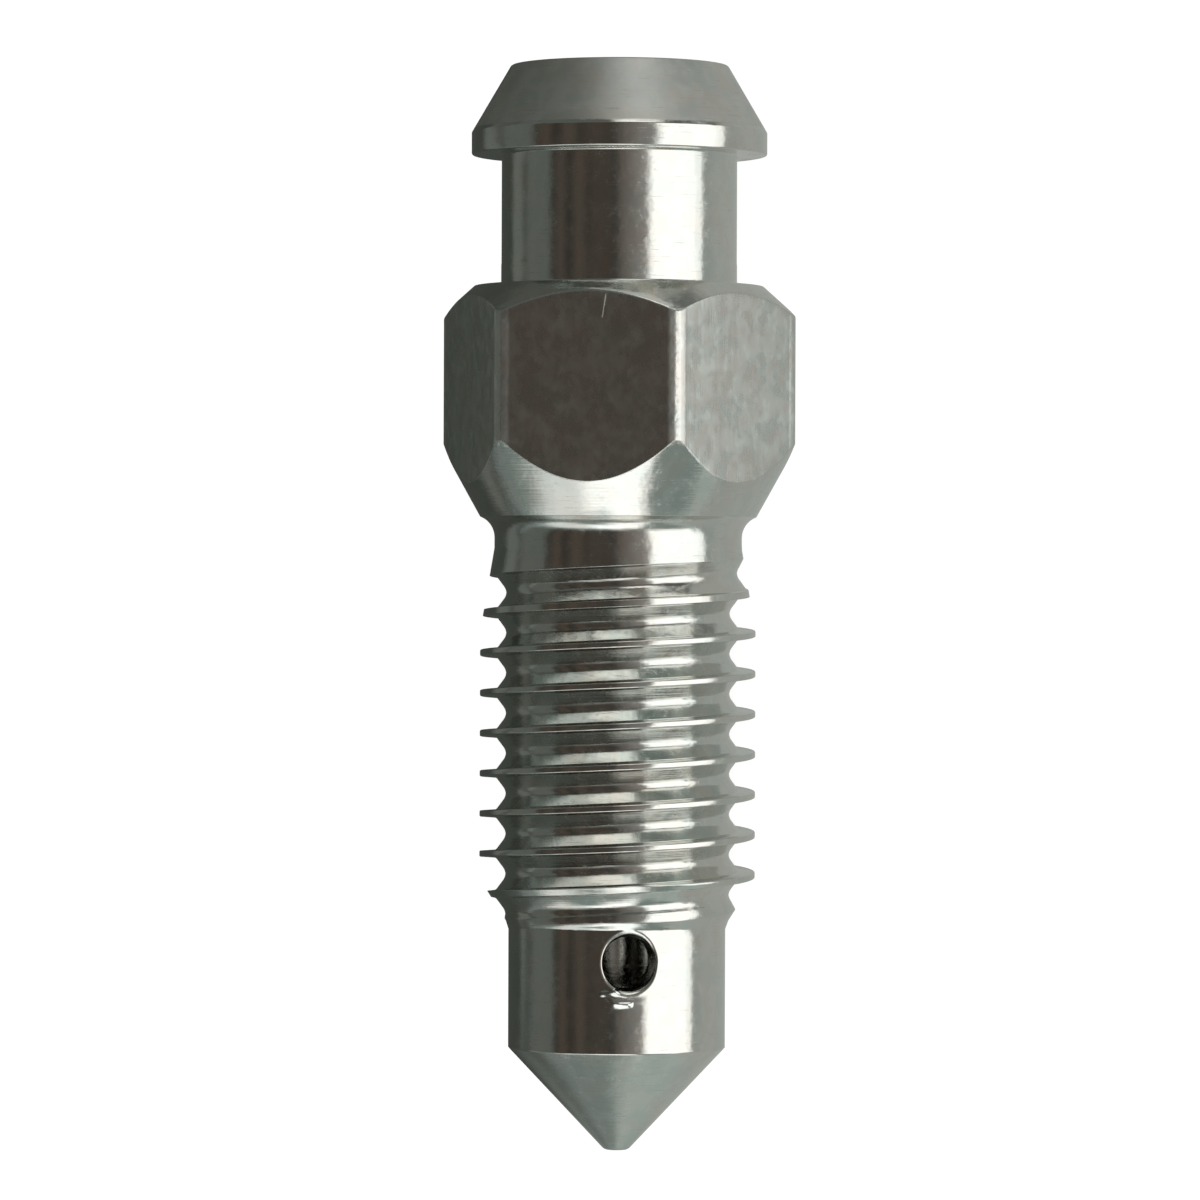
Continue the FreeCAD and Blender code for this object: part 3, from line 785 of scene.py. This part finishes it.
def room(world):
    """The studio round the screw, by direction: a dark striped room in front, a long white soft box
    along the right, a grey wall on the left, a small box over the nipple with grey below it, and a
    greenish wall with a wide box beyond the point. Each is a soft-edged share of the direction's parts."""
    finish = Finish(world)
    facing = finish.add("ShaderNodeTexCoord", out=0)
    turned = finish.add(
        "ShaderNodeVectorRotate", {"rotation_type": "Y_AXIS"},
        {"Vector": facing, "Angle": -math.radians(CAMERA_AZIMUTH)},
    )
    right, along, front = finish.parts(turned)
    round_axis = right / (right * right + front * front + 0.0001) ** 0.5
    side_on = (1 - finish.band(along, 0.42, 0.56)) * (1 - finish.band(-along, 0.50, 0.64))
    soft_box = finish.band(round_axis, 0.45, 0.53) * side_on
    above_horizon = 1 - finish.band(along, 0.965, 0.99)
    near_middle = 1 - finish.band(abs(right - 0.17), 0.14, 0.30)
    box_over_nipple = finish.band(along, 0.70, 0.78) * above_horizon * near_middle
    box_beyond = (
        finish.band(-along, 0.62, 0.70) * (1 - finish.band(-along, 0.955, 0.985))
        * finish.band(right, -0.74, -0.62) * (1 - finish.band(right, 0.24, 0.32))
        * finish.band(-right, 0.25, 0.40, 1.0, 0.5)
        * (1 - finish.band(-along, 0.885, 0.915) * finish.band(-right, 0.0, 0.20))
    )

    dark_stripe = (0.040, 0.036, 0.031, 1)
    brown_stripe = (0.088, 0.071, 0.057, 1)
    warm_grey = (0.27, 0.255, 0.235, 1)
    left_wall = (0.125, 0.134, 0.122, 1)
    over_nipple = (0.11, 0.12, 0.11, 1)
    box_light = (1.17, 1.16, 1.12, 1)
    horizon = (0.50, 0.505, 0.475, 1)
    green_wall = (0.24, 0.28, 0.26, 1)
    white_light = (1.5, 1.5, 1.46, 1)
    stripes = finish.band(finish.lines(round_axis, 5.5, 3.0, 0.6), 0.40, 0.60)
    seen = finish.blend(stripes, dark_stripe, brown_stripe)
    seen = finish.blend(finish.band(round_axis, -0.20, 0.52), seen, warm_grey)
    seen = finish.blend(finish.band(-round_axis, 0.93, 0.96), seen, left_wall)
    seen = finish.blend(finish.band(along, 0.50, 0.62) * above_horizon, seen, over_nipple)
    seen = finish.blend(box_over_nipple, seen, box_light)
    seen = finish.blend(finish.band(along, 0.972, 0.992), seen, horizon)
    seen = finish.blend(finish.band(-along, 0.50, 0.70), seen, green_wall)
    seen = finish.blend(soft_box.or_more(box_beyond), seen, white_light)
    light = finish.add("ShaderNodeBackground", None, {"Color": seen, "Strength": 1.0})
    finish.add("ShaderNodeOutputWorld", None, {"Surface": light})


def studio():
    """A white floor in a plain studio, with a lamp above that only dull surfaces see."""
    sheet("floor", 1.6, 1.6, pale_floor())
    overhead_lamp()
    world = bpy.data.worlds.new("room")
    bpy.context.scene.world = world
    room(world)


def camera():
    """The photograph's camera: 27 mm of screw over nine tenths of the frame, seen square to its axis,
    a little off to one side and turned by a fifth of a degree."""
    data = bpy.data.cameras.new("camera")
    data.sensor_width = data.sensor_height = 36
    data.sensor_fit = "AUTO"
    data.angle = 2 * math.atan(FRAME_HALF_WIDTH / CAMERA_DISTANCE)
    data.clip_start = 0.01
    thing = bpy.data.objects.new("camera", data)
    bpy.context.scene.collection.objects.link(thing)
    bpy.context.scene.camera = thing
    turn = math.radians(CAMERA_AZIMUTH)
    right = laid_down(np.array([-math.sin(turn), math.cos(turn), 0])) - laid_down(np.zeros(3))
    sideways = Vector(right.tolist()) * CAMERA_SIDEWAYS
    thing.location = own_point(CAMERA_AZIMUTH, CAMERA_DISTANCE, CAMERA_HEIGHT) + sideways
    target = own_point(0, 0, CAMERA_HEIGHT - CAMERA_LOOKS_DOWN) + sideways
    aim(thing, target, math.radians(CAMERA_ROLL))


def screw():
    """The screw itself: its skin in zinc plate, standing for the one solid."""
    mesh = screw_mesh()
    mesh.materials.append(zinc_plate())
    thing = bpy.data.objects.new("screw_skin", mesh)
    bpy.context.scene.collection.objects.link(thing)
    weights = thing.modifiers.new("even_shading", "WEIGHTED_NORMAL")
    weights.mode = "FACE_AREA"
    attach(thing, "root")
    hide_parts("bleeder_screw")
    return thing


screw()
studio()
camera()
bpy.context.scene.view_settings.view_transform = "Standard"
